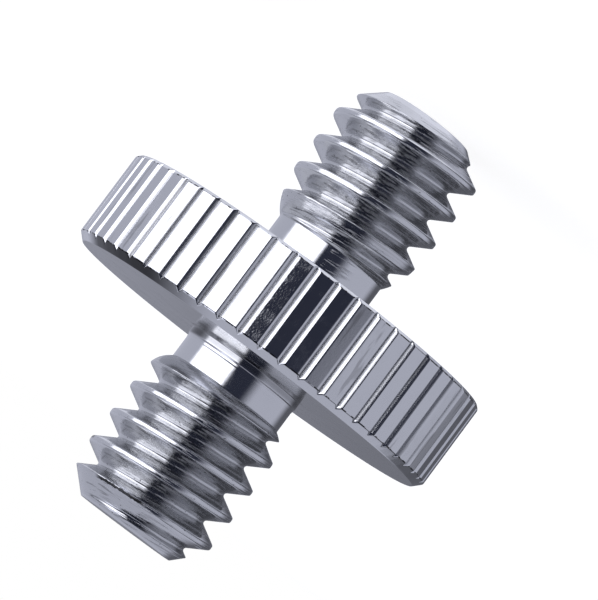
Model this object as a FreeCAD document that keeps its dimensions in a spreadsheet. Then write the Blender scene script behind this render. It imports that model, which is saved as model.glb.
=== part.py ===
"""Threaded adapter bolt: two coarse-threaded studs on one turned bar, with a fluted round flange between them.

The bolt stands on the end of its lower stud. The origin is the middle of that end and +Z runs up the axis.
"""
import FreeCAD, Part
import math
import os
import Sketcher

NODE = "adapter_bolt"

# Driving sizes in millimetres, degrees and counts: name, value, what it is
SIZES = [
    ("flange_diameter", 16.0, "flange, across the lands between the flutes"),
    ("flange_thickness", 3.85, "flange, face to face"),
    ("lower_chamfer", 0.12, "45 degree edge of the flange's lower face"),
    ("upper_chamfer", 0.3, "45 degree edge of the flange's upper face"),
    ("flute_count", 54, "flutes round the rim"),
    ("flute_depth", 0.15, "flute, below the lands"),
    ("flute_angle", 97.0, "between the two flanks of a flute"),
    ("flute_floor", 0.06, "flat at the bottom of a flute"),
    ("lower_stud_length", 7.54, "lower stud, flange face to end"),
    ("upper_stud_length", 7.66, "upper stud, flange face to end"),
    ("lower_shank_diameter", 4.7, "plain part of the lower stud"),
    ("upper_shank_diameter", 4.86, "plain part of the upper stud"),
    ("shank_length", 1.25, "plain part of a stud, from the flange face to the rise of its thread"),
    ("runout_length", 1.5, "cone that rises from the shank to the full thread"),
    ("lower_tip_diameter", 3.8, "flat end of the lower stud"),
    ("upper_tip_diameter", 4.1, "flat end of the upper stud"),
    ("tip_length", 0.95, "tapered lead at the end of a stud"),
    ("collar_proud", 0.04, "how far the collar at the root of a stud stands out from the shank"),
    ("collar_height", 0.4, "collar at the root of a stud, along the axis"),
    ("thread_diameter", 6.1, "over the crests"),
    ("thread_pitch", 1.27, "20 threads to the inch"),
    ("thread_angle", 60.0, "between the two flanks of the thread"),
    ("thread_crest", 0.16, "flat on top of the thread"),
    ("thread_floor", 0.175, "flat at the bottom of the thread"),
    ("lower_start_angle", 44.0, "where the lower groove leaves its shank, round from the +X side"),
    ("upper_start_angle", -4.0, "where the upper groove leaves its shank, round from the +X side"),
    ("cutter_overreach", 0.05, "how far a groove's outline stands clear of what it cuts"),
]

# Heights above the lower end, and radii, as expressions of the sizes
FLANGE_BOTTOM = "Sizes.lower_stud_length"
FLANGE_TOP = f"({FLANGE_BOTTOM} + Sizes.flange_thickness)"
UPPER_END = f"({FLANGE_TOP} + Sizes.upper_stud_length)"
FLANGE_RADIUS = "(Sizes.flange_diameter / 2)"
CREST_RADIUS = "(Sizes.thread_diameter / 2)"

# A V thread's depth follows from its pitch, its angle and its two flats
FLANK_WIDTH = "((Sizes.thread_pitch - Sizes.thread_crest - Sizes.thread_floor) / 2)"
ROOT_RADIUS = f"({CREST_RADIUS} - {FLANK_WIDTH} / tan(Sizes.thread_angle * 1 deg / 2))"

# A sketch's own origin and axes, as its constraints number them, and the ends of a line
ORIGIN = (-1, 1)
ACROSS_AXIS_INDEX = -1
UP_AXIS_INDEX = -2
START_INDEX = 1
END_INDEX = 2

FULL_TURN = 360.0
QUARTER_TURN = 90.0


def add_sheet(doc):
    """Put every driving size in a spreadsheet cell with its own alias."""
    sheet = doc.addObject("Spreadsheet::Sheet", "Sizes")
    for row, (alias, value, meaning) in enumerate(SIZES, start=1):
        sheet.set(f"A{row}", alias)
        sheet.set(f"B{row}", str(value))
        sheet.setAlias(f"B{row}", alias)
        sheet.set(f"C{row}", meaning)
    doc.recompute()
    return sheet


def number(sheet, expression):
    """The present value of an expression of the sizes."""
    return float(sheet.evalExpression(expression))


def add_sketch(body, name, role):
    """Attach an empty sketch to one of the body's origin planes."""
    plane = next(item for item in body.Origin.OriginFeatures if item.Role == role)
    sketch = body.newObject("Sketcher::SketchObject", name)
    sketch.AttachmentSupport = (plane, [""])
    sketch.MapMode = "FlatFace"
    return sketch


def turn_sketch(sketch, axis, degrees, heights):
    """Turn a sketch about an axis of its own plane's frame and lift it, both by expressions."""
    sketch.AttachmentOffset = FreeCAD.Placement(FreeCAD.Vector(), FreeCAD.Rotation(axis, QUARTER_TURN))
    sketch.setExpression("AttachmentOffset.Rotation.Angle", degrees)
    for coordinate, height in heights.items():
        sketch.setExpression(f"AttachmentOffset.Base.{coordinate}", height)


def bind(sketch, expression, *constraint):
    """Add a constraint whose value follows an expression."""
    index = sketch.addConstraint(Sketcher.Constraint(*constraint))
    sketch.setExpression(f"Constraints[{index}]", expression)


def draw_outline(sketch, sheet, corners):
    """Draw a closed outline of straight edges.

    Each corner is two expressions, across and up, or None in place of one that lies on the axis.
    """
    points = []
    for corner in corners:
        across, up = (0.0 if part is None else number(sheet, part) for part in corner)
        points.append(FreeCAD.Vector(across, up, 0))
    for start, end in zip(points, points[1:] + points[:1]):
        sketch.addGeometry(Part.LineSegment(start, end), False)
    for edge, ((across, up), point) in enumerate(zip(corners, points)):
        before = (edge - 1) % len(points)
        sketch.addConstraint(Sketcher.Constraint("Coincident", before, END_INDEX, edge, START_INDEX))
        if across is None:
            sketch.addConstraint(Sketcher.Constraint("PointOnObject", edge, START_INDEX, UP_AXIS_INDEX))
        else:
            bind(sketch, across, "DistanceX", *ORIGIN, edge, START_INDEX, point.x)
        if up is None:
            sketch.addConstraint(Sketcher.Constraint("PointOnObject", edge, START_INDEX, ACROSS_AXIS_INDEX))
        else:
            bind(sketch, up, "DistanceY", *ORIGIN, edge, START_INDEX, point.y)


def revolve(body, sheet, name, corners):
    """Turn a closed half section of (radius, height) corners round the axis."""
    sketch = add_sketch(body, f"{name}Outline", "XZ_Plane")
    draw_outline(sketch, sheet, corners)
    revolution = body.newObject("PartDesign::Revolution", name)
    revolution.Profile = sketch
    revolution.ReferenceAxis = (sketch, ["V_Axis"])
    revolution.Angle = FULL_TURN
    return revolution


def add_flange(body, sheet):
    """The round flange, with a chamfer at each face."""
    corners = [
        (None, FLANGE_BOTTOM),
        (f"{FLANGE_RADIUS} - Sizes.lower_chamfer", FLANGE_BOTTOM),
        (FLANGE_RADIUS, f"{FLANGE_BOTTOM} + Sizes.lower_chamfer"),
        (FLANGE_RADIUS, f"{FLANGE_TOP} - Sizes.upper_chamfer"),
        (f"{FLANGE_RADIUS} - Sizes.upper_chamfer", FLANGE_TOP),
        (None, FLANGE_TOP),
    ]
    return revolve(body, sheet, "Flange", corners)


def add_stud(body, sheet, side, face, way, end):
    """One stud before its thread is cut: collar, plain shank, run-out cone, crests and tapered lead.

    face and end are heights, and way is the sign that leads from the one to the other.
    """
    shank = f"Sizes.{side}_shank_diameter / 2"
    collar = f"{shank} + Sizes.collar_proud"
    collar_end = f"{face} {way} Sizes.collar_height"
    corners = [
        (None, face),
        (collar, face),
        (collar, collar_end),
        (shank, collar_end),
        (shank, f"{face} {way} Sizes.shank_length"),
        (CREST_RADIUS, f"{face} {way} (Sizes.shank_length + Sizes.runout_length)"),
        (CREST_RADIUS, f"{face} {way} (Sizes.{side}_stud_length - Sizes.tip_length)"),
        (f"Sizes.{side}_tip_diameter / 2", end),
        (None, end),
    ]
    return revolve(body, sheet, f"{side.title()}Stud", corners)


def draw_groove(sketch, sheet, bottom, surface, floor, angle):
    """Section of a groove that opens along the sketch's X axis: a flat floor between two leaning flanks.

    bottom and surface are the distances of its floor and of what it cuts from the axis.
    """
    lean = f"tan({angle} * 1 deg / 2)"
    mouth = f"{surface} + Sizes.cutter_overreach"
    half_floor = f"{floor} / 2"
    half_mouth = f"({half_floor} + ({mouth} - {bottom}) * {lean})"
    corners = [
        (bottom, f"-{half_floor}"),
        (mouth, f"-{half_mouth}"),
        (mouth, half_mouth),
        (bottom, half_floor),
    ]
    draw_outline(sketch, sheet, corners)


def add_flutes(body, sheet):
    """Straight flutes all round the rim, cut from face to face, with one on the +Y side."""
    sketch = add_sketch(body, "FluteSection", "XY_Plane")
    turn_sketch(sketch, FreeCAD.Vector(0, 0, 1), f"{QUARTER_TURN} deg", {"z": FLANGE_BOTTOM})
    bottom = f"({FLANGE_RADIUS} - Sizes.flute_depth)"
    draw_groove(sketch, sheet, bottom, FLANGE_RADIUS, "Sizes.flute_floor", "Sizes.flute_angle")
    flute = body.newObject("PartDesign::Pocket", "Flute")
    flute.Profile = sketch
    flute.Reversed = True
    flute.setExpression("Length", "Sizes.flange_thickness")
    flutes = body.newObject("PartDesign::PolarPattern", "Flutes")
    flutes.Originals = [flute]
    flutes.Axis = (sketch, ["N_Axis"])
    flutes.Angle = FULL_TURN
    flutes.setExpression("Occurrences", "Sizes.flute_count")
    body.Tip = flutes
    return flutes


def cut_thread(body, sheet, side, face, way):
    """Cut one stud's right-hand thread, from the end of its plain shank until it is clear of its end."""
    sketch = add_sketch(body, f"{side.title()}ThreadSection", "XZ_Plane")
    height = f"{face} {way} Sizes.shank_length"
    turn_sketch(sketch, FreeCAD.Vector(0, 1, 0), f"Sizes.{side}_start_angle * 1 deg", {"y": height})
    draw_groove(sketch, sheet, ROOT_RADIUS, CREST_RADIUS, "Sizes.thread_floor", "Sizes.thread_angle")
    groove = body.newObject("PartDesign::SubtractiveHelix", f"{side.title()}Thread")
    groove.Profile = sketch
    groove.ReferenceAxis = (sketch, ["V_Axis"])
    groove.HasBeenEdited = True
    groove.Mode = "pitch-height-angle"
    groove.Reversed = way == "-"
    groove.setExpression("Pitch", "Sizes.thread_pitch")
    past_end = "Sizes.thread_pitch + Sizes.cutter_overreach"
    groove.setExpression("Height", f"Sizes.{side}_stud_length - Sizes.shank_length + {past_end}")
    return groove


def check(doc, body, blank_volume):
    """Stop with a plain message if any object failed, no groove cut or the solid isn't sound."""
    failed = [item.Name for item in doc.Objects if {"Invalid", "Error"} & set(item.State)]
    if failed:
        raise RuntimeError(f"these objects failed: {failed}")
    shape = body.Shape
    if shape.isNull() or not shape.isValid() or len(shape.Solids) != 1:
        raise RuntimeError(f"{body.Label} is not one valid solid")
    if shape.Volume >= blank_volume:
        raise RuntimeError("the threads and flutes took nothing away")


def main():
    """Build the bolt and write it out."""
    doc = FreeCAD.newDocument("AdapterBolt")
    sheet = add_sheet(doc)
    body = doc.addObject("PartDesign::Body", "AdapterBolt")
    body.Label = NODE
    add_flange(body, sheet)
    add_stud(body, sheet, "lower", FLANGE_BOTTOM, "-", None)
    add_stud(body, sheet, "upper", FLANGE_TOP, "+", UPPER_END)
    doc.recompute()
    blank_volume = body.Shape.Volume
    add_flutes(body, sheet)
    doc.recompute()
    cut_thread(body, sheet, "lower", FLANGE_BOTTOM, "-")
    cut_thread(body, sheet, "upper", FLANGE_TOP, "+")
    doc.recompute()
    check(doc, body, blank_volume)
    os.makedirs("parts", exist_ok=True)
    body.Shape.exportStep(f"parts/{NODE}.step")
    print(f"{NODE}: blank {blank_volume:.2f} mm3, finished {body.Shape.Volume:.2f} mm3")


main()
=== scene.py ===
"""Dresses the threaded adapter bolt and sets it in a small light tent, seen as in its photograph.

The bolt is one turned bar, so it is one closed mesh. Every ring of it is worked out from the sizes of its
studs, its threads and its flange, which are in millimetres like the bolt's drawing.
"""

import logging
import math
from collections.abc import Sequence
from dataclasses import dataclass, field
from enum import Enum

import bpy
import numpy as np
from mathutils import Matrix, Vector


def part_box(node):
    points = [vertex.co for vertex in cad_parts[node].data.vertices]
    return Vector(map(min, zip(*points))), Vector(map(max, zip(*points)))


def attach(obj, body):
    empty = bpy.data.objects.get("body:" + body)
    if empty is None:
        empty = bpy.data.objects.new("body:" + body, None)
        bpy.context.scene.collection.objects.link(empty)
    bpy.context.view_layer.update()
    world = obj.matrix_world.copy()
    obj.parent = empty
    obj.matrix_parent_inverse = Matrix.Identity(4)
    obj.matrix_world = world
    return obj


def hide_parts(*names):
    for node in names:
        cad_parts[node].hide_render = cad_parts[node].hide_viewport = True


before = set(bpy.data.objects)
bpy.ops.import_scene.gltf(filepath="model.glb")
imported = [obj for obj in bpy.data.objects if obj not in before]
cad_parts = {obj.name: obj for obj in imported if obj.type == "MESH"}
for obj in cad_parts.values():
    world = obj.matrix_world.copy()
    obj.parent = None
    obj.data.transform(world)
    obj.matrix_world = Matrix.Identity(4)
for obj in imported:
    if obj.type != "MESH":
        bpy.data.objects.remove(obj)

LOG = logging.getLogger("adapter_bolt")
MM = 0.001
NODE = "adapter_bolt"
Array = np.ndarray
Socket = bpy.types.NodeSocket
Value = Socket | float
Pair = tuple[float, float]
Color = tuple[float, float, float]


class Way(Enum):
    """Which way a stud points along the bolt's axis."""

    UP = 1
    DOWN = -1


def smooth_min(first: Array, second: Array, width: float) -> Array:
    """The lower of two surfaces, with a small rounding where they cross.

    Args:
        first: heights of one surface.
        second: heights of the other.
        width: difference of height below which the crossing is rounded.

    Returns:
        Heights of the joint surface.
    """
    near = np.clip(width - np.abs(first - second), 0.0, None) / width
    return np.minimum(first, second) - near**2 * width / 4


def smooth_step(value: Array, low: float, high: float) -> Array:
    """A soft rise from 0 at low to 1 at high.

    Args:
        value: where it is wanted.
        low: where the rise starts.
        high: where it ends.

    Returns:
        The height of the rise, from 0 to 1.
    """
    part = np.clip((value - low) / (high - low), 0.0, 1.0)
    return part * part * (3 - 2 * part)


@dataclass(frozen=True)
class ThreadForm:
    """A coarse right-hand thread with narrow rounded crests and rounded roots.

    Sizes in millimetres and degrees.
    """

    pitch: float = 1.27
    crest_diameter: float = 6.1
    angle: float = 60.0
    crest_flat: float = 0.08
    crest_round: float = 0.1
    root_round: float = 0.12

    @property
    def crest_radius(self) -> float:
        """Distance of the crests from the axis."""
        return self.crest_diameter / 2

    @property
    def root_radius(self) -> float:
        """Distance of the roots from the axis."""
        sharp_depth = (self.pitch - self.crest_flat) / 2 / math.tan(math.radians(self.angle / 2))
        lost = (self.crest_round + self.root_round) * (1 / math.sin(math.radians(self.angle / 2)) - 1)
        return self.crest_radius - sharp_depth + lost

    def surface(self, phase: Array) -> Array:
        """Distance of the thread's surface from the axis.

        Args:
            phase: place along the axis, counted from a crest.

        Returns:
            The radius at each place.
        """
        half_angle = math.radians(self.angle / 2)
        away = np.abs((phase + self.pitch / 2) % self.pitch - self.pitch / 2)
        back = self.pitch / 2 - away
        beside = np.clip(away - self.crest_flat / 2, 0, None)
        crest_reach = self.crest_round * math.cos(half_angle)
        root_reach = self.root_round * math.cos(half_angle)
        crest = self.crest_radius - self.crest_round + np.sqrt(
            np.clip(self.crest_round**2 - np.minimum(beside, crest_reach) ** 2, 0, None))
        root = self.root_radius + self.root_round - np.sqrt(
            np.clip(self.root_round**2 - np.minimum(back, root_reach) ** 2, 0, None))
        edge = self.crest_radius - self.crest_round + self.crest_round * math.sin(half_angle)
        flank = edge - (beside - crest_reach) / math.tan(half_angle)
        return np.where(beside < crest_reach, crest, np.where(back < root_reach, root, flank))


@dataclass(frozen=True)
class Stud:
    """One threaded stud: stepped collar, plain shank, run-out, thread and tapered tip.

    Sizes are in millimetres, and heights are counted from the flange face. Band is the collar's second step.
    Rise is the run-out of the thread's outer shape, and fade that of its groove. Each row is the height of a
    ring of the mesh, and the rows of a step and of the end's edge are shares of its rounding.
    """

    way: Way
    face: float
    length: float
    shank_diameter: float
    tip_diameter: float
    crest_at: float
    collar_proud: float = 0.05
    collar_height: float = 0.36
    band_proud: float = 0.012
    band_height: float = 0.5
    rise_start: float = 1.4
    rise_length: float = 0.4
    fade_start: float = 2.35
    fade_rate: float = 0.28
    fade_power: float = 1.2
    fade_length: float = 1.05
    tip_length: float = 1.0
    edge_round: float = 0.06
    step_round: float = 0.03
    blend: float = 0.05
    collar_rows: Sequence[float] = (0.0, 0.12, 0.24)
    step_rows: Sequence[float] = (-1.5, -1.0, -0.5, 0.0, 0.5, 1.0, 1.5)
    shank_rows: Sequence[float] = (0.85, 0.95, 1.05, 1.15)
    thread_rows_from: float = 1.2
    row_step: float = 0.035
    edge_rows: Sequence[float] = (0.33, 0.67, 1.0)
    thread: ThreadForm = field(default_factory=ThreadForm)

    @property
    def shank_radius(self) -> float:
        """Radius of the plain shank."""
        return self.shank_diameter / 2

    @property
    def tip_radius(self) -> float:
        """Radius of the flat end."""
        return self.tip_diameter / 2

    def blank(self, height: Array) -> Array:
        """Radius of the turned bar before its thread.

        Args:
            height: distances from the flange face.

        Returns:
            The radius at each height.
        """
        soft = self.step_round
        collar = 1 - smooth_step(height, self.collar_height - soft, self.collar_height + soft)
        band = 1 - smooth_step(height, self.band_height - soft, self.band_height + soft)
        shank = self.shank_radius + (self.collar_proud - self.band_proud) * collar + self.band_proud * band
        part = np.clip((height - self.rise_start) / self.rise_length, 0.0, None)
        rise = (self.thread.crest_radius + self.blend / 2 - self.shank_radius) * (1 - np.exp(-part))
        slope = (self.thread.crest_radius - self.tip_radius) / self.tip_length
        taper = self.tip_radius + (self.length - height) * slope
        return smooth_min(shank + rise, taper, self.blend)

    def radius(self, angle: Array, height: Array) -> Array:
        """Radius of the finished stud.

        Args:
            angle: directions round the axis, in radians from +X.
            height: distances from the flange face.

        Returns:
            The radius at each place.
        """
        phase = self.way.value * height - self.crest_at - self.thread.pitch * angle / math.tau
        fade = np.clip((self.fade_start - height) / self.fade_length, 0.0, None)
        groove = self.thread.surface(phase) + self.fade_rate * fade**self.fade_power
        return smooth_min(self.blank(height), groove, self.blend)

    def rows(self) -> list[tuple[float, float]]:
        """Heights of the rings of the mesh, each with how far the ring is drawn in.

        Returns:
            Pairs of height and inset, from the flange face to the end.
        """
        heights = list(self.collar_rows)
        for step in (self.collar_height, self.band_height):
            heights += [step + part * self.step_round for part in self.step_rows]
        heights += self.shank_rows
        slope_angle = math.atan2(self.thread.crest_radius - self.tip_radius, self.tip_length)
        turn = math.pi / 2 - slope_angle
        tangent = self.edge_round * math.tan(turn / 2)
        edge_start = self.length - tangent * math.cos(slope_angle)
        count = round((edge_start - self.thread_rows_from) / self.row_step)
        heights += list(np.linspace(self.thread_rows_from, edge_start, count + 1))
        rows = [(height, 0.0) for height in heights]
        for part in self.edge_rows:
            lean = slope_angle + turn * part
            centre = self.length - self.edge_round
            height = centre + self.edge_round * math.sin(lean)
            arc = self.tip_radius - tangent + self.edge_round * math.cos(lean)
            cone = self.tip_radius + (self.length - height) * math.tan(slope_angle)
            rows.append((height, cone - arc))
        return rows


@dataclass(frozen=True)
class Flange:
    """The round flange with flutes all round its rim.

    Sizes are in millimetres and degrees. A column is a direction of the mesh's points, as a share of half a
    flute. Each row is the distance of a ring of the mesh from its face, and the rows of the face's edge are
    shares of its rounding.
    """

    bottom: float
    diameter: float
    thickness: float = 3.85
    lower_chamfer: float = 0.12
    upper_chamfer: float = 0.3
    flutes: int = 54
    flute_depth: float = 0.132
    flute_half_width: float = 0.165
    edge_slope: float = 27.0
    floor_round: float = 0.002
    chamfer_round: float = 0.035
    face_round: float = 0.05
    columns: Sequence[float] = (0.012, 0.2, 0.4, 0.6, 0.8, 0.93, 1.08, 1.4)
    edge_rows: Sequence[float] = (0.0, 0.35, 0.7)
    lower_rows: Sequence[float] = (0.02, 0.035, 0.05, 0.065, 0.08, 0.095, 0.11, 0.125, 0.14, 0.2)
    upper_rows: Sequence[float] = (
        0.03, 0.08, 0.12, 0.145, 0.165, 0.185, 0.205, 0.225, 0.245, 0.265, 0.285, 0.31, 0.34, 0.42)

    @property
    def top(self) -> float:
        """Height of the upper face above the bolt's lower end."""
        return self.bottom + self.thickness

    @property
    def outer_radius(self) -> float:
        """Radius over the lands."""
        return self.diameter / 2

    @property
    def land_ends(self) -> Pair:
        """Heights of the lands' lower and upper ends."""
        return self.bottom + self.lower_chamfer, self.top - self.upper_chamfer

    def cut(self, across: Array) -> Array:
        """Depth of a flute, whose walls bend over from a sharp bottom to a less steep edge at the land.

        Args:
            across: distances from the middle of the flute, round the rim.

        Returns:
            The depth below the lands at each place.
        """
        away = np.sqrt(across**2 + self.floor_round**2)
        inside = np.clip(self.flute_half_width - away, 0, None)
        edge = math.tan(math.radians(self.edge_slope))
        bend = (self.flute_depth - edge * self.flute_half_width) / self.flute_half_width**2
        return edge * inside + bend * inside**2

    def radius(self, angle: Array, height: Array) -> Array:
        """Radius of the finished rim.

        Args:
            angle: directions round the axis, in radians from +X.
            height: distances from the bolt's lower end.

        Returns:
            The radius at each place.
        """
        period = math.tau / self.flutes
        middle = math.pi / 2
        away = (angle - middle + period / 2) % period - period / 2
        rim = self.outer_radius - self.cut(away * self.outer_radius)
        lower_cone = self.outer_radius - self.lower_chamfer + height - self.bottom
        upper_cone = self.outer_radius - self.upper_chamfer + self.top - height
        return smooth_min(rim, np.minimum(lower_cone, upper_cone), self.chamfer_round)

    def angles(self) -> Array:
        """Directions of the mesh's columns, closer together where a flute's section bends.

        Returns:
            The directions in radians from +X, rising.
        """
        period = math.tau / self.flutes
        half = self.flute_half_width / self.outer_radius
        offsets = [sign * part * half for part in self.columns for sign in (-1, 1)]
        steps = [math.pi / 2 + period * flute + offset for flute in range(self.flutes) for offset in offsets]
        return np.array(sorted(step % math.tau for step in steps))

    def rows(self) -> list[tuple[float, float]]:
        """Heights of the rim's rings, each with how far the ring is drawn in.

        Returns:
            Pairs of height above the bolt's lower end and inset, from the bottom face to the top face.
        """
        tangent = self.face_round * math.tan(math.pi / 8)
        edge = []
        for part in self.edge_rows:
            lean = math.pi / 4 * part
            height = self.face_round * (1 - math.cos(lean))
            arc = -tangent + self.face_round * math.sin(lean)
            edge.append((height, height - arc))
        low = edge + [(height, 0.0) for height in self.lower_rows]
        high = edge + [(height, 0.0) for height in self.upper_rows]
        rows = [(self.bottom + height, inset) for height, inset in low]
        rows.append((self.bottom + self.thickness / 2, 0.0))
        return rows + [(self.top - height, inset) for height, inset in reversed(high)]


@dataclass
class MeshBuilder:
    """Collects rings of points and joins them into one closed mesh."""

    points: list[Array] = field(default_factory=list)
    faces: list[tuple[int, ...]] = field(default_factory=list)
    count: int = 0

    def add_point(self, height: float) -> int:
        """Add one point on the axis.

        Args:
            height: the point's height.

        Returns:
            Its number.
        """
        self.points.append(np.array([[0.0, 0.0, height]]))
        self.count += 1
        return self.count - 1

    def add_ring(self, angles: Array, radius: Array, height: float) -> Array:
        """Add a ring of points.

        Args:
            angles: directions of the points, in radians.
            radius: distance of each point from the axis.
            height: height of the ring.

        Returns:
            The numbers of the new points.
        """
        heights = np.full_like(angles, height)
        ring = np.stack([radius * np.cos(angles), radius * np.sin(angles), heights], axis=1)
        self.points.append(ring)
        self.count += len(ring)
        return np.arange(self.count - len(ring), self.count)

    def bridge(self, below: Array, above: Array) -> None:
        """Join a lower and an upper ring of as many points with quads that face outwards."""
        below_next, above_next = np.roll(below, -1), np.roll(above, -1)
        self.faces.extend(zip(below.tolist(), below_next.tolist(), above_next.tolist(), above.tolist()))

    def zip_rings(
            self, inner: Array, inner_angles: Array, outer: Array, outer_angles: Array, up: bool) -> None:
        """Fill a flat ring between two rings of different counts with triangles.

        Args:
            inner: numbers of the inner ring's points.
            inner_angles: their directions, rising.
            outer: numbers of the outer ring's points.
            outer_angles: their directions, rising.
            up: True if the flat ring faces up.
        """
        inside, outside = 0, 0
        inner_turn = np.append(inner_angles, inner_angles[0] + math.tau)
        outer_turn = np.append(outer_angles, outer_angles[0] + math.tau)
        while inside < len(inner) or outside < len(outer):
            step_outer = inside == len(inner) or (
                outside < len(outer) and outer_turn[outside + 1] <= inner_turn[inside + 1])
            here_in, here_out = int(inner[inside % len(inner)]), int(outer[outside % len(outer)])
            if step_outer:
                outside += 1
                face = (here_in, here_out, int(outer[outside % len(outer)]))
            else:
                inside += 1
                face = (here_in, here_out, int(inner[inside % len(inner)]))
            self.faces.append(face if up else face[::-1])

    def fan(self, middle: int, ring: Array, up: bool) -> None:
        """Close a ring with triangles to the point on the axis, as a disc that faces up or down."""
        for here, there in zip(ring.tolist(), np.roll(ring, -1).tolist()):
            self.faces.append((middle, here, there) if up else (middle, there, here))

    def build(self, name: str) -> bpy.types.Object:
        """Make the object, in metres, with normals weighted by the area of the faces.

        Args:
            name: the object's name.

        Returns:
            The linked object.
        """
        points = np.concatenate(self.points) * MM
        mesh = bpy.data.meshes.new(name)
        mesh.from_pydata(points.tolist(), [], self.faces)
        mesh.validate()
        mesh.shade_smooth()
        mesh.normals_split_custom_set_from_vertices(self.normals(points).tolist())
        piece = bpy.data.objects.new(name, mesh)
        bpy.context.scene.collection.objects.link(piece)
        return piece

    def normals(self, points: Array) -> Array:
        """Normal of each point, from the faces round it by their area.

        Args:
            points: the mesh's points.

        Returns:
            One unit vector a point.
        """
        total = np.zeros_like(points)
        for size in (3, 4):
            group = np.array([face for face in self.faces if len(face) == size])
            if not len(group):
                continue
            area = np.zeros((len(group), 3))
            for corner in range(1, size - 1):
                first = points[group[:, corner]] - points[group[:, 0]]
                second = points[group[:, corner + 1]] - points[group[:, 0]]
                area += np.cross(first, second)
            for corner in range(size):
                np.add.at(total, group[:, corner], area)
        return total / np.linalg.norm(total, axis=1, keepdims=True)


@dataclass(frozen=True)
class Span:
    """A stretch with soft ends.

    It starts at low and is full after low_soft, and it fades over high_soft to end at high.
    """

    low: float
    high: float
    low_soft: float
    high_soft: float


@dataclass(frozen=True)
class Grain:
    """Noise cut to patches: its scale and detail, where a patch starts and where it is full."""

    scale: float
    detail: float
    low: float
    high: float


class NodeTree:
    """A material's nodes, added and joined by short calls.

    Args:
        material: whose nodes they are.
    """

    def __init__(self, material: bpy.types.Material) -> None:
        material.use_nodes = True
        self.tree = material.node_tree

    def add(self, kind: str, **options: object) -> bpy.types.Node:
        """Add a node.

        Args:
            kind: its type, without the prefix of shader nodes.
            options: its settings, by name.

        Returns:
            The new node.
        """
        node = self.tree.nodes.new(f"ShaderNode{kind}")
        for name, value in options.items():
            setattr(node, name, value)
        return node

    def feed(self, socket: Socket, value: Value) -> None:
        """Link a socket into an input, or write a plain value there.

        Args:
            socket: the input.
            value: what it gets.
        """
        if isinstance(value, Socket):
            self.tree.links.new(value, socket)
        else:
            socket.default_value = value

    def math(self, operation: str, *values: Value) -> Socket:
        """Add a Math node.

        Args:
            operation: what it does.
            values: its inputs.

        Returns:
            Its output.
        """
        node = self.add("Math", operation=operation)
        for socket, value in zip(node.inputs, values):
            self.feed(socket, value)
        return node.outputs[0]

    def product(self, first: Value, *others: Value) -> Value:
        """Multiply values with each other.

        Args:
            first: the first factor.
            others: the other factors.

        Returns:
            Their product.
        """
        result = first
        for other in others:
            result = self.math("MULTIPLY", result, other)
        return result

    def ramp(self, value: Value, low: float, high: float, start: float = 0.0, end: float = 1.0) -> Socket:
        """Change softly from one number to another while a value rises.

        Args:
            value: what is followed.
            low: where the change starts.
            high: where it ends, above or below low.
            start: the number before the change.
            end: the number after it.

        Returns:
            The changing number.
        """
        node = self.add("MapRange", interpolation_type="SMOOTHSTEP")
        numbers = {"Value": value, "From Min": low, "From Max": high, "To Min": start, "To Max": end}
        for name, number in numbers.items():
            self.feed(node.inputs[name], number)
        return node.outputs["Result"]

    def near(self, value: Value, edge: float, ends: Pair, start: float = 0.0, end: float = 1.0) -> Socket:
        """Change softly while a value passes an edge, between two distances from it."""
        return self.ramp(value, edge + ends[0], edge + ends[1], start, end)

    def within(self, value: Value, span: Span) -> Value:
        """Make a mask that is 1 while a value lies in a stretch."""
        rise = self.ramp(value, span.low, span.low + span.low_soft)
        return self.product(rise, self.ramp(value, span.high - span.high_soft, span.high, 1.0, 0.0))

    def move(self, start: Value, end: float, share: Value) -> Socket:
        """Go from one number, where a share is 0, to another, where it is 1."""
        gap = self.math("SUBTRACT", end, start)
        return self.math("ADD", start, self.product(gap, share))

    def vector(self, *values: Value) -> Socket:
        """Join values to a vector.

        Args:
            values: its three parts.

        Returns:
            The vector.
        """
        node = self.add("CombineXYZ")
        for socket, value in zip(node.inputs, values):
            self.feed(socket, value)
        return node.outputs[0]

    def blend(self, first: Socket, second: Socket, share: Value) -> Socket:
        """Mix two vectors.

        Args:
            first: the vector where the share is 0.
            second: the vector where it is 1.
            share: how much of the second is in the mix.

        Returns:
            The mix.
        """
        node = self.add("Mix", data_type="VECTOR")
        self.feed(node.inputs["Factor"], share)
        sides = [item for item in node.inputs if item.type == "VECTOR" and item.enabled]
        for socket, value in zip(sides, (first, second)):
            self.feed(socket, value)
        return next(item for item in node.outputs if item.enabled)

    def noise(self, place: Socket, scale: float, detail: float) -> Socket:
        """Make noise between about 0 and 1.

        Args:
            place: where it is taken.
            scale: its waves in one unit of the place.
            detail: how many finer layers it has.

        Returns:
            The noise.
        """
        node = self.add("TexNoise")
        self.feed(node.inputs["Vector"], place)
        self.feed(node.inputs["Scale"], scale)
        self.feed(node.inputs["Detail"], detail)
        return node.outputs["Fac"]

    def patches(self, place: Socket, grain: Grain, start: float = 0.0, end: float = 1.0) -> Socket:
        """Cut noise to patches, with one number outside them and one inside."""
        noise = self.noise(place, grain.scale, grain.detail)
        return self.ramp(noise, grain.low, grain.high, start, end)


@dataclass(frozen=True)
class Place:
    """Where a point of the bolt's surface lies, as sockets of its material.

    Lengths are in millimetres from the lower end's centre. Turn is the direction round the axis, in degrees
    from +X, and phase that of the thread's helix, in radians. Wind and streak run along the helix.
    Threaded and rim are masks, 1 on their own part of the bolt.
    """

    whole: Socket
    across: Socket
    along: Socket
    height: Socket
    reach: Socket
    turn: Socket
    phase: Socket
    wind: Socket
    streak: Socket
    threaded: Socket
    rim: Socket


@dataclass(frozen=True)
class Burr:
    """A torn dark stretch on a crest of the upper stud, by its directions in degrees and its heights."""

    turn: Span
    height: Span


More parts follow.
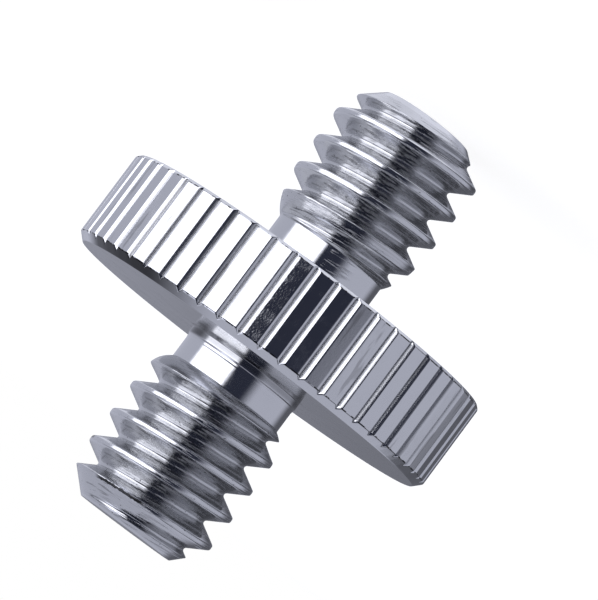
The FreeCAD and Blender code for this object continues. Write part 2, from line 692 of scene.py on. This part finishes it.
@dataclass(frozen=True)
class CollarShade:
    """A ring of painted shade at the root of the upper stud, next to the flange, or the part of one between
    two directions.

    High is its height above the flange face, and share what it leaves of the plating's brightness.
    """

    high: float
    share: float
    turn: Span | None = None


@dataclass(frozen=True)
class Plating:
    """Bright plating over turned steel, with the fine lines of the tools that cut it.

    Sizes are in millimetres and directions in degrees from +X. Lines run round the bolt on its plain parts
    and along the helix on its threads. The shares say how much of the plating's brightness is left under the
    painted shade in the threads' grooves, in a stain, a smear or a pit, and under the painted dark reflection
    on one side of the upper chamfer. Smooth, rough, scuffed, hazed and the flute's two are values of
    roughness.
    Sheltered is the share of the scuffs that stays towards +X.
    Each pair is where a mask begins and is full, counted from the edge that its method names.
    """

    name: str = "bright_plating"
    slot: str = "plating"
    color: Color = (0.66, 0.665, 0.675)

    groove_shade_share: float = 0.9
    stain_share: float = 0.58
    smear_share: float = 0.7
    pit_share: float = 0.08
    dark_reflection_share: float = 0.07

    line_width: float = 0.06
    line_seed: float = 4.3
    wind_slant: float = 0.7
    streak_slant: float = 1.3
    plain_length: float = 1.5
    plain_soft: float = 0.2
    side_from: Pair = (-0.12, -0.08)
    rim_soft: float = 0.03
    thread_depth: float = 0.0058
    face_depth: float = 0.0012
    speck_width: float = 0.085
    speck_depth: float = 0.001
    rim_speck_depth: float = 0.0042

    smooth: float = 0.07
    rough: float = 0.15
    scuffed: float = 0.56
    sheltered: float = 0.35
    hazed: float = 0.2
    flute_wall: float = 0.24
    flute_floor: float = 0.45
    wall_from: Pair = (-0.008, -0.03)
    floor_from: Pair = (-0.06, -0.09)
    shank_from: Pair = (0.0, -0.02)
    sheltered_from: Pair = (-90.0, -80.0)

    gloss_grain: Grain = Grain(0.9, 3.0, 0.35, 0.7)
    scuff_grain: Grain = Grain(0.95, 3.0, 0.52, 0.62)
    haze_grain: Grain = Grain(2.6, 5.0, 0.45, 0.7)
    stain_grain: Grain = Grain(0.6, 3.0, 0.44, 0.31)
    smear_grain: Grain = Grain(1.0, 4.0, 0.6, 0.68)
    pit_grain: Grain = Grain(9.0, 1.0, 0.73, 0.77)
    nick_grain: Grain = Grain(5.0, 2.0, 0.5, 0.56)
    smear_stretch: tuple[float, float, float] = (2.4, 2.4, 0.35)

    groove_shade_from: Pair = (-0.03, -0.14)
    nick_land_from: Pair = (-0.06, -0.04)
    nick_from: Pair = (0.03, 0.018)
    # Where the painted dark reflection lies on the upper chamfer.
    dark_reflection_height_from: Pair = (-0.26, -0.22)
    dark_reflection_cone_from: Pair = (-0.035, -0.015)
    dark_reflection_reach_from: Pair = (-1.0, -0.9)
    dark_reflection_rag: float = 0.16
    collar_shade_from: Pair = (0.2, 0.1)
    burr_from: Pair = (-0.25, -0.2)
    burr_line: Pair = (0.955, 0.975)
    burr_lag: float = 0.05
    burr_rag: float = 0.5
    specked_turn: Span = Span(-108.0, -82.5, 22.0, 2.0)
    scuffed_shank_turn: Span = Span(-128.0, -88.0, 20.0, 4.0)
    dark_reflection_turn: Span = Span(-80.0, -15.0, 30.0, 11.0)
    burrs: Sequence[Burr] = (
        Burr(Span(-92.0, -44.0, 4.0, 8.0), Span(17.9, 18.4, 0.05, 0.05)),
        Burr(Span(-16.0, 8.0, 4.0, 8.0), Span(16.9, 17.3, 0.05, 0.05)),
    )
    # Rings of painted shade at the upper stud's collar, the second on one side only.
    collar_shades: Sequence[CollarShade] = (CollarShade(0.38, 0.62), CollarShade(0.42, 0.35, Span(-45.0, 8.0, 12.0, 12.0)))

    def material(self, flange: Flange, upper: Stud) -> bpy.types.Material:
        """Make the plating's material.

        Args:
            flange: parts the two threaded studs.
            upper: the stud above it.

        Returns:
            The new material.
        """
        material = bpy.data.materials.new(self.name)
        tree = NodeTree(material)
        shader = material.node_tree.nodes["Principled BSDF"]
        shader.inputs["Metallic"].default_value = 1.0
        place = self.place(tree, flange, upper.thread)
        tree.feed(shader.inputs["Normal"], self.relief(tree, place))
        tree.feed(shader.inputs["Roughness"], self.roughness(tree, place, flange))
        tinted = tree.add("VectorMath", operation="SCALE")
        tree.feed(tinted.inputs[0], tree.vector(*self.color))
        tree.feed(tinted.inputs["Scale"], self.brightness(tree, place, flange, upper))
        tree.feed(shader.inputs["Base Color"], tinted.outputs["Vector"])
        return material

    def place(self, tree: NodeTree, flange: Flange, thread: ThreadForm) -> Place:
        """Work out where on the bolt a point lies.

        Args:
            tree: the material's nodes.
            flange: parts the two threaded studs.
            thread: the studs' thread.

        Returns:
            The sockets for the other methods.
        """
        scaled = tree.add("VectorMath", operation="SCALE")
        tree.feed(scaled.inputs[0], tree.add("TexCoord").outputs["Object"])
        tree.feed(scaled.inputs["Scale"], 1 / MM)
        whole = scaled.outputs["Vector"]
        parts = tree.add("SeparateXYZ")
        tree.feed(parts.inputs[0], whole)
        across, along, height = parts.outputs
        squares = [tree.math("POWER", length, 2.0) for length in (across, along)]
        reach = tree.math("SQRT", tree.math("ADD", *squares))
        around = tree.math("ARCTAN2", along, across)
        phase = tree.math("SUBTRACT", tree.product(height, math.tau / thread.pitch), around)
        ring = thread.pitch / math.tau / self.line_width
        beat = tree.product(tree.math("COSINE", phase), ring)
        swing = tree.product(tree.math("SINE", phase), ring)
        slant = tree.math("ADD", across, along)
        ends = flange.bottom - self.plain_length, flange.top + self.plain_length
        plain = tree.within(height, Span(*ends, self.plain_soft, self.plain_soft))
        # The end faces lie inside the thread's roots, and they are turned like the flange.
        sides = tree.near(reach, thread.root_radius, self.side_from)
        return Place(
            whole=whole, across=across, along=along, height=height, reach=reach,
            turn=tree.math("DEGREES", around), phase=phase,
            wind=tree.vector(beat, swing, tree.product(slant, self.wind_slant)),
            streak=tree.vector(beat, swing, tree.product(slant, self.streak_slant)),
            threaded=tree.product(tree.math("SUBTRACT", 1.0, plain), sides),
            rim=tree.within(height, Span(*flange.land_ends, self.rim_soft, self.rim_soft)),
        )

    def relief(self, tree: NodeTree, place: Place) -> Socket:
        """Raise the fine lines and specks.

        Args:
            tree: the material's nodes.
            place: where a point lies.

        Returns:
            The bumped normal.
        """
        cut = tree.product(tree.noise(place.wind, 1.0, 4.0), self.thread_depth * MM, place.threaded)
        lines = [tree.math("DIVIDE", length, self.line_width) for length in (place.reach, place.height)]
        rings = tree.vector(*lines, self.line_seed)
        turned = tree.product(tree.noise(rings, 1.0, 3.0), self.face_depth * MM)
        specked = tree.product(place.rim, tree.within(place.turn, self.specked_turn))
        depth = tree.move(self.speck_depth * MM, self.rim_speck_depth * MM, specked)
        specks = tree.product(tree.noise(place.whole, 1 / self.speck_width, 2.0), depth)
        bump = tree.add("Bump")
        bump.inputs["Strength"].default_value = 1.0
        bump.inputs["Distance"].default_value = 1.0
        tree.feed(bump.inputs["Height"], tree.math("ADD", tree.math("ADD", cut, turned), specks))
        return bump.outputs["Normal"]

    def roughness(self, tree: NodeTree, place: Place, flange: Flange) -> Socket:
        """Drifts of gloss, scuffs along the threads, haze on the rim and dull flutes.

        Args:
            tree: the material's nodes.
            place: where a point lies.
            flange: has the flutes.

        Returns:
            The roughness.
        """
        lower_shank = tree.product(
            tree.near(place.height, flange.bottom, self.shank_from),
            tree.within(place.turn, self.scuffed_shank_turn))
        side = tree.near(place.turn, 0.0, self.sheltered_from, 1.0, self.sheltered)
        worn = tree.math("MAXIMUM", tree.product(place.threaded, side), lower_shank)
        wall = tree.near(place.reach, flange.outer_radius, self.wall_from)
        deep = tree.near(place.reach, flange.outer_radius, self.floor_from)
        result = tree.patches(place.whole, self.gloss_grain, self.smooth, self.rough)
        for value, mask in (
            (self.scuffed, tree.product(tree.patches(place.streak, self.scuff_grain), worn)),
            (self.hazed, tree.product(place.rim, tree.patches(place.whole, self.haze_grain))),
            (self.flute_wall, tree.product(wall, place.rim)),
            (self.flute_floor, tree.product(deep, place.rim)),
        ):
            result = tree.move(result, value, mask)
        return result

    def brightness(self, tree: NodeTree, place: Place, flange: Flange, upper: Stud) -> Socket:
        """How much of its brightness the plating keeps, from painted shade in the grooves and at the collar,
        stains, smears, pits and a painted dark reflection on the upper chamfer.

        Args:
            tree: the material's nodes.
            place: where a point lies.
            flange: has the rim.
            upper: the stud above it.

        Returns:
            A number from 0 to 1.
        """
        below = tree.near(place.reach, upper.thread.crest_radius, self.groove_shade_from)
        lengths = zip((place.across, place.along, place.height), self.smear_stretch)
        upright = tree.vector(*(tree.product(length, stretch) for length, stretch in lengths))
        # Painted shade: the threads are darker below their crests, in the grooves and on the flanks.
        shade = tree.ramp(tree.product(place.threaded, below), 0.0, 1.0, 1.0, self.groove_shade_share)
        for share, mask in (
            (self.stain_share, tree.product(place.threaded, tree.patches(place.streak, self.stain_grain))),
            (self.pit_share, tree.product(place.threaded, tree.patches(place.whole, self.pit_grain))),
            (self.smear_share, tree.product(place.rim, tree.patches(upright, self.smear_grain))),
            (self.pit_share, self.nicks(tree, place, flange)),
            # Painted dark reflection on one side of the upper chamfer.
            (self.dark_reflection_share, self.chamfer_dark_reflection(tree, place, flange)),
            (self.pit_share, self.torn(tree, place, upper)),
            # Painted shade at the upper stud's collar, next to the flange.
            *((shade_band.share, self.collar_shade_mask(tree, place, upper, shade_band)) for shade_band in self.collar_shades),
        ):
            shade = tree.product(shade, tree.move(1.0, share, mask))
        return shade

    def nicks(self, tree: NodeTree, place: Place, flange: Flange) -> Value:
        """Mask of the nicks where the lands meet the chamfers.

        Args:
            tree: the material's nodes.
            place: where a point lies.
            flange: has the lands.

        Returns:
            The mask.
        """
        lands = tree.near(place.reach, flange.outer_radius, self.nick_land_from)
        edges = [
            tree.near(tree.math("ABSOLUTE", tree.math("SUBTRACT", place.height, edge)), 0.0, self.nick_from)
            for edge in flange.land_ends
        ]
        return tree.product(lands, tree.patches(place.whole, self.nick_grain), tree.math("MAXIMUM", *edges))

    def chamfer_dark_reflection(self, tree: NodeTree, place: Place, flange: Flange) -> Value:
        """Mask of the painted dark reflection on one side of the upper chamfer.

        Args:
            tree: the material's nodes.
            place: where a point lies.
            flange: has the chamfer.

        Returns:
            The mask.
        """
        rag = tree.product(tree.noise(place.whole, 5.0, 3.0), self.dark_reflection_rag)
        rises = tree.near(tree.math("ADD", place.height, rag), flange.top, self.dark_reflection_height_from)
        cone = flange.outer_radius - flange.upper_chamfer + flange.top
        on_cone = tree.near(tree.math("ADD", place.reach, place.height), cone, self.dark_reflection_cone_from)
        on_flange = tree.near(place.reach, flange.outer_radius, self.dark_reflection_reach_from)
        return tree.product(tree.within(place.turn, self.dark_reflection_turn), on_cone, on_flange, rises)

    def collar_shade_mask(self, tree: NodeTree, place: Place, upper: Stud, shade_band: CollarShade) -> Value:
        """Mask of painted shade on the upper stud's collar, next to the flange.

        Args:
            tree: the material's nodes.
            place: where a point lies.
            upper: the stud.
            shade_band: how high and how far round it goes.

        Returns:
            The mask.
        """
        shank = tree.near(place.reach, upper.shank_radius, self.collar_shade_from)
        tall = tree.within(place.height, Span(upper.face - 0.01, upper.face + shade_band.high, 0.01, 0.16))
        ring = tree.product(shank, tall)
        return tree.product(ring, tree.within(place.turn, shade_band.turn)) if shade_band.turn else ring

    def torn(self, tree: NodeTree, place: Place, upper: Stud) -> Value:
        """Mask of the torn stretches of the upper stud's crests.

        Args:
            tree: the material's nodes.
            place: where a point lies.
            upper: the stud.

        Returns:
            The mask.
        """
        thread = upper.thread
        crest = (upper.face + upper.crest_at) * math.tau / thread.pitch
        rag = tree.product(tree.noise(place.whole, 7.0, 2.0), self.burr_rag)
        off = tree.math("SUBTRACT", tree.math("ADD", place.phase, rag), crest + self.burr_lag)
        line = tree.near(tree.math("COSINE", off), 0.0, self.burr_line)
        raised = tree.near(place.reach, thread.crest_radius, self.burr_from)
        total = 0.0
        for burr in self.burrs:
            stretch = tree.product(tree.within(place.turn, burr.turn), tree.within(place.height, burr.height))
            total = tree.math("ADD", stretch, total)
        return tree.product(line, raised, total)


@dataclass(frozen=True)
class AdapterBolt:
    """The whole bolt: lower stud, flange and upper stud in one closed mesh.

    Sizes are in millimetres. The studs differ a little in their diameters and in how their threads run out.
    """

    lower_length: float = 7.54
    lower_shank: float = 4.7
    lower_tip: float = 3.8
    lower_crest: float = -0.74
    lower_rise: float = 0.8
    lower_fade: float = 2.15
    upper_shank: float = 4.86
    upper_tip: float = 4.1
    upper_crest: float = 0.631
    stud_columns: int = 150
    finish: Plating = field(default_factory=Plating)

    def build(self) -> None:
        """Model the bolt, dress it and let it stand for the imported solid."""
        low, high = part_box(NODE)
        flange = Flange(bottom=self.lower_length, diameter=(high[0] - low[0]) / MM)
        lower = Stud(
            Way.DOWN, flange.bottom, self.lower_length, self.lower_shank, self.lower_tip, self.lower_crest,
            rise_length=self.lower_rise, fade_start=self.lower_fade)
        upper = Stud(
            Way.UP, flange.top, high[2] / MM - flange.top, self.upper_shank, self.upper_tip, self.upper_crest)
        mesh = MeshBuilder()
        lower_rings = self.stud_rings(mesh, lower)
        rim_angles = flange.angles()
        rim_rings = []
        for height, inset in flange.rows():
            radius = flange.radius(rim_angles, np.full_like(rim_angles, height)) - inset
            rim_rings.append(mesh.add_ring(rim_angles, radius, height))
        upper_rings = self.stud_rings(mesh, upper)
        for rings in (lower_rings[::-1], rim_rings, upper_rings):
            for below, above in zip(rings, rings[1:]):
                mesh.bridge(below, above)
        angles = self.stud_angles()
        mesh.zip_rings(lower_rings[0], angles, rim_rings[0], rim_angles, up=False)
        mesh.zip_rings(upper_rings[0], angles, rim_rings[-1], rim_angles, up=True)
        mesh.fan(mesh.add_point(0.0), lower_rings[-1], up=False)
        mesh.fan(mesh.add_point(flange.top + upper.length), upper_rings[-1], up=True)
        piece = mesh.build("plated_bolt")
        piece.data.materials.append(self.finish.material(flange, upper))
        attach(piece, "root")
        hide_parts(NODE)
        LOG.info("%s: %d points, %d faces", piece.name, len(piece.data.vertices), len(piece.data.polygons))

    def stud_angles(self) -> Array:
        """Directions of the studs' columns."""
        return np.arange(self.stud_columns) * math.tau / self.stud_columns

    def stud_rings(self, mesh: MeshBuilder, stud: Stud) -> list[Array]:
        """Add the rings of one stud, from the flange face to the end.

        Args:
            mesh: what they are added to.
            stud: the stud's sizes.

        Returns:
            The numbers of each ring's points.
        """
        angles = self.stud_angles()
        rings = []
        for height, inset in stud.rows():
            radius = stud.radius(angles, np.full_like(angles, height)) - inset
            rings.append(mesh.add_ring(angles, radius, stud.face + stud.way.value * height))
        return rings


@dataclass(frozen=True)
class Panel:
    """A soft-edged patch of the light tent, by its directions from the bolt.

    Azimuth 0 is towards the photograph's camera and 90 towards -X, in degrees. Glow is what it shines with,
    where 1 is plain white. Tilt lifts its middle line by so many degrees for each degree of azimuth, and both
    repeats it below the horizon.
    """

    azimuth: float
    half_width: float
    edge: float
    glow: float
    elevation: float = 0.0
    half_height: float = 95.0
    height_edge: float = 1.0
    tilt: float = 0.0
    both: bool = False
    tint: Color = (0.82, 0.845, 1.0)

    @property
    def light(self) -> Color:
        """The patch's light in red, green and blue."""
        return tuple(self.glow * part for part in self.tint)


@dataclass(frozen=True)
class LightTent:
    """A round white tent with a big soft light on one side and a dark gap for the camera.

    The camera doesn't see it, so every view has the plain background. The bands are what the flanks of the
    threads mirror, and right and left are the photograph's. Sizes are in metres.
    """

    radius: float = 0.6
    middle: float = 0.009
    walls: Panel = Panel(0.0, 180.0, 0.0, glow=0.66)
    back: Panel = Panel(155.0, 30.0, 14.0, glow=0.15, half_height=28.0, height_edge=10.0)
    roof: Panel = Panel(0.0, 180.0, 0.1, glow=0.66, elevation=90.0, half_height=40.0, height_edge=8.0)
    base: Panel = Panel(
        0.0, 180.0, 0.1, glow=1.1, elevation=-90.0, half_height=36.0, height_edge=8.0, tint=(0.86, 0.88, 1.0))
    low_light: Panel = Panel(
        -130.0, 40.0, 10.0, glow=1.0, elevation=-42.0, half_height=24.0, height_edge=8.0,
        tint=(0.86, 0.88, 1.0))
    right_bands: Panel = Panel(
        97.0, 57.0, 12.0, glow=0.13, elevation=41.0, half_height=13.0, height_edge=5.0, tilt=-0.45, both=True)
    camera_gap: Panel = Panel(
        0.0, 36.0, 13.0, glow=0.055, half_height=65.0, height_edge=4.0, tint=(0.55, 0.62, 1.0))
    bright_bands: Panel = Panel(
        -60.0, 30.0, 8.0, glow=2.0, elevation=55.0, half_height=10.0, height_edge=5.0, both=True)
    softbox: Panel = Panel(
        -52.0, 38.0, 5.0, glow=2.5, elevation=-10.0, half_height=20.0, height_edge=4.0, tint=(0.9, 0.91, 1.0))
    left_bands: Panel = Panel(
        -95.0, 26.0, 8.0, glow=0.22, elevation=42.0, half_height=7.0, height_edge=5.0, tilt=0.4, both=True)

    @property
    def panels(self) -> Sequence[Panel]:
        """The patches, where each one lies over those before it."""
        return (
            self.back, self.roof, self.base, self.low_light, self.right_bands, self.camera_gap,
            self.bright_bands, self.softbox, self.left_bands)

    def build(self) -> None:
        """Make the tent."""
        bpy.ops.mesh.primitive_uv_sphere_add(
            segments=48, ring_count=24, radius=self.radius, location=(0.0, 0.0, self.middle))
        tent = bpy.context.object
        tent.name = "light_tent"
        tent.data.materials.append(self.material())
        tent.visible_camera = False
        tent.visible_shadow = False

    def material(self) -> bpy.types.Material:
        """Make the tent's cloth, which glows by its direction from the bolt.

        Returns:
            The new material.
        """
        material = bpy.data.materials.new("tent_cloth")
        tree = NodeTree(material)
        material.node_tree.nodes.clear()
        unit = tree.add("VectorMath", operation="NORMALIZE")
        tree.feed(unit.inputs[0], tree.add("TexCoord").outputs["Object"])
        parts = tree.add("SeparateXYZ")
        tree.feed(parts.inputs[0], unit.outputs["Vector"])
        west = tree.product(parts.outputs["X"], -1.0)
        front = tree.product(parts.outputs["Y"], -1.0)
        azimuth = tree.math("DEGREES", tree.math("ARCTAN2", west, front))
        elevation = tree.math("DEGREES", tree.math("ARCSINE", parts.outputs["Z"]))
        light = tree.vector(*self.walls.light)
        for panel in self.panels:
            turned = tree.math("WRAP", tree.math("SUBTRACT", azimuth, panel.azimuth), 180.0, -180.0)
            middle = tree.math("ADD", tree.product(turned, panel.tilt), panel.elevation)
            height = tree.math("ABSOLUTE", elevation) if panel.both else elevation
            raised = tree.math("SUBTRACT", height, middle)
            inside = [
                tree.ramp(tree.math("ABSOLUTE", away), half - edge, half + edge, 1.0, 0.0)
                for away, half, edge in (
                    (turned, panel.half_width, panel.edge), (raised, panel.half_height, panel.height_edge))
            ]
            light = tree.blend(light, tree.vector(*panel.light), tree.product(*inside))
        shader = tree.add("Emission")
        tree.feed(shader.inputs["Color"], light)
        output = tree.add("OutputMaterial")
        tree.feed(output.inputs["Surface"], shader.outputs[0])
        return material


@dataclass(frozen=True)
class Studio:
    """The plain pale floor and the white that lies beyond it.

    The floor glows only for the camera, so it looks white and keeps the bolt's shadow.
    """

    floor_radius: float = 0.55
    floor_color: tuple[float, float, float, float] = (0.35, 0.35, 0.35, 1.0)
    floor_glow: float = 0.88

    def build(self) -> None:
        """Make the floor and the world."""
        bpy.ops.mesh.primitive_circle_add(vertices=96, radius=self.floor_radius, fill_type="NGON")
        floor = bpy.context.object
        floor.name = "floor"
        material = bpy.data.materials.new("pale_floor")
        tree = NodeTree(material)
        material.node_tree.nodes.clear()
        cloth = tree.add("BsdfDiffuse")
        cloth.inputs["Color"].default_value = self.floor_color
        glow = tree.add("Emission")
        seen = tree.add("LightPath").outputs["Is Camera Ray"]
        tree.feed(glow.inputs["Strength"], tree.product(seen, self.floor_glow))
        both = tree.add("AddShader")
        tree.feed(both.inputs[0], cloth.outputs[0])
        tree.feed(both.inputs[1], glow.outputs[0])
        output = tree.add("OutputMaterial")
        tree.feed(output.inputs["Surface"], both.outputs[0])
        floor.data.materials.append(material)
        floor.visible_glossy = False
        world = bpy.data.worlds.new("white")
        bpy.context.scene.world = world
        world.use_nodes = True
        background = world.node_tree.nodes["Background"]
        background.inputs["Color"].default_value = (1.0, 1.0, 1.0, 1.0)
        background.inputs["Strength"].default_value = 1.0


@dataclass(frozen=True)
class PhotoCamera:
    """The photograph's camera, found from the bolt's outline in it.

    Pixels are of the 598 x 600 frame, with y down, and lengths are in millimetres. Clip is the range of depth
    that is rendered, in metres.
    """

    image_size: tuple[int, int] = (598, 600)
    aim_pixel: tuple[float, float] = (283.85, 314.5)
    axis_pixels: tuple[float, float] = (-0.5974, 0.8019)
    aim_height: float = 9.065
    distance: float = 170.0
    elevation: float = 4.4
    pixels_per_mm: float = 26.6
    sensor: float = 36.0
    clip: tuple[float, float] = (0.01, 10.0)

    def build(self) -> None:
        """Make the camera and give it to the scene."""
        lean = math.radians(self.elevation)
        back = Vector((0.0, -math.cos(lean), math.sin(lean)))
        axis_up = Vector((0.0, math.sin(lean), math.cos(lean)))
        level = axis_up.cross(back)
        along, down = self.axis_pixels
        right = level * -down + axis_up * along
        up = level * -along + axis_up * -down
        centre = Vector((0.0, 0.0, self.aim_height))
        shift_right = (self.image_size[0] / 2 - self.aim_pixel[0]) / self.pixels_per_mm
        shift_up = (self.aim_pixel[1] - self.image_size[1] / 2) / self.pixels_per_mm
        place = centre + back * self.distance
        target = centre + right * shift_right + up * shift_up
        depth = (place - target).normalized()
        across = (right - depth * right.dot(depth)).normalized()
        data = bpy.data.cameras.new("photo_camera")
        data.sensor_width = self.sensor
        data.lens = self.pixels_per_mm * self.distance * self.sensor / max(self.image_size)
        data.clip_start, data.clip_end = self.clip
        camera = bpy.data.objects.new("photo_camera", data)
        turn = Matrix((across, depth.cross(across), depth)).transposed()
        camera.matrix_world = Matrix.Translation(place * MM) @ turn.to_4x4()
        bpy.context.scene.collection.objects.link(camera)
        bpy.context.scene.camera = camera


def main() -> None:
    """Build the bolt and its studio, and log how many points and faces the bolt's mesh has."""
    logging.basicConfig(level=logging.INFO, format="%(name)s: %(message)s")
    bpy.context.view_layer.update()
    AdapterBolt().build()
    LightTent().build()
    Studio().build()
    PhotoCamera().build()
    bpy.context.scene.view_settings.view_transform = "Standard"


if __name__ == "__main__":
    main()
